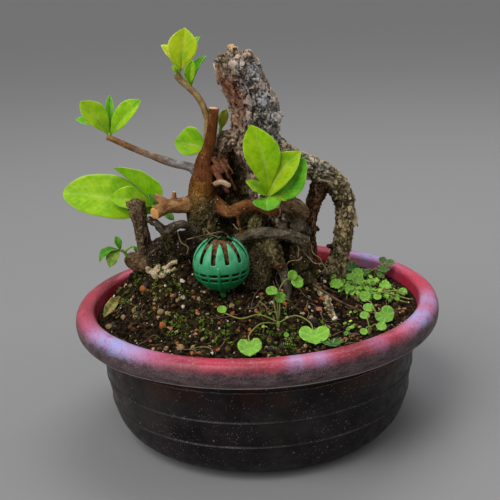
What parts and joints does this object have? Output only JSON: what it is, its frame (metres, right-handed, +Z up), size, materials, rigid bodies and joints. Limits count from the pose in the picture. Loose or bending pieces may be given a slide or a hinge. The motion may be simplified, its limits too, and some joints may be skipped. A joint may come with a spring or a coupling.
{
  "type": "flowering quince bonsai in a training bowl",
  "caption": "Cut-back quince stump with an arching root and young spring shoots, on a weedy soil mound with a slotted fertiliser basket, in a round plastic bowl.",
  "frame": {"origin": "middle of the bowl's base, in the plane that it stands on", "axes": "+Z up along the bowl's axis, -Y towards the viewer of the picture, +X to the viewer's right, so the arching root is at +X and the long left shoot at -X"},
  "size_m": [0.2309, 0.228, 0.2496],
  "materials": {
    "bowl_plastic": "worn semi-gloss plastic, near-black wall with a faded crimson and lavender streaked rim",
    "soil": "damp granular potting mix with pebbles, grit and moss",
    "bark": "rough flaking grey-brown bark with lichen, moss and pale cut ends",
    "quince_leaf": "fresh, slightly glossy yellow-green leaf, translucent",
    "weed_leaf": "matt soft green leaf, translucent",
    "basket_plastic": "moulded green plastic with a soft gloss",
    "pellets": "crumbling brown organic pellets, matt",
    "cake": "pale crumbly organic cake, matt",
    "dry_litter": "dry withered leaf and twig, matt"
  },
  "bodies": {
    "root": {"bowl": "bowl_plastic", "soil": "soil", "tree": "bark", "shoot_top": "quince_leaf", "shoot_top_side": "quince_leaf", "shoot_left": "quince_leaf", "shoot_low_left": "quince_leaf", "leaf_behind": "quince_leaf", "bud_leaf": "quince_leaf", "shoot_centre": "quince_leaf", "shoot_curled": "quince_leaf", "basket": "basket_plastic", "pellets": "pellets", "fertiliser_cake": "cake", "dry_twig": "dry_litter", "dead_leaf": "dry_litter", "violet_front": "weed_leaf", "violet_tail": "weed_leaf", "violet_right": "weed_leaf", "seedlings": "weed_leaf", "weed_back": "weed_leaf", "weed_middle": "weed_leaf", "weed_front": "weed_leaf"}
  },
  "joints": []
}
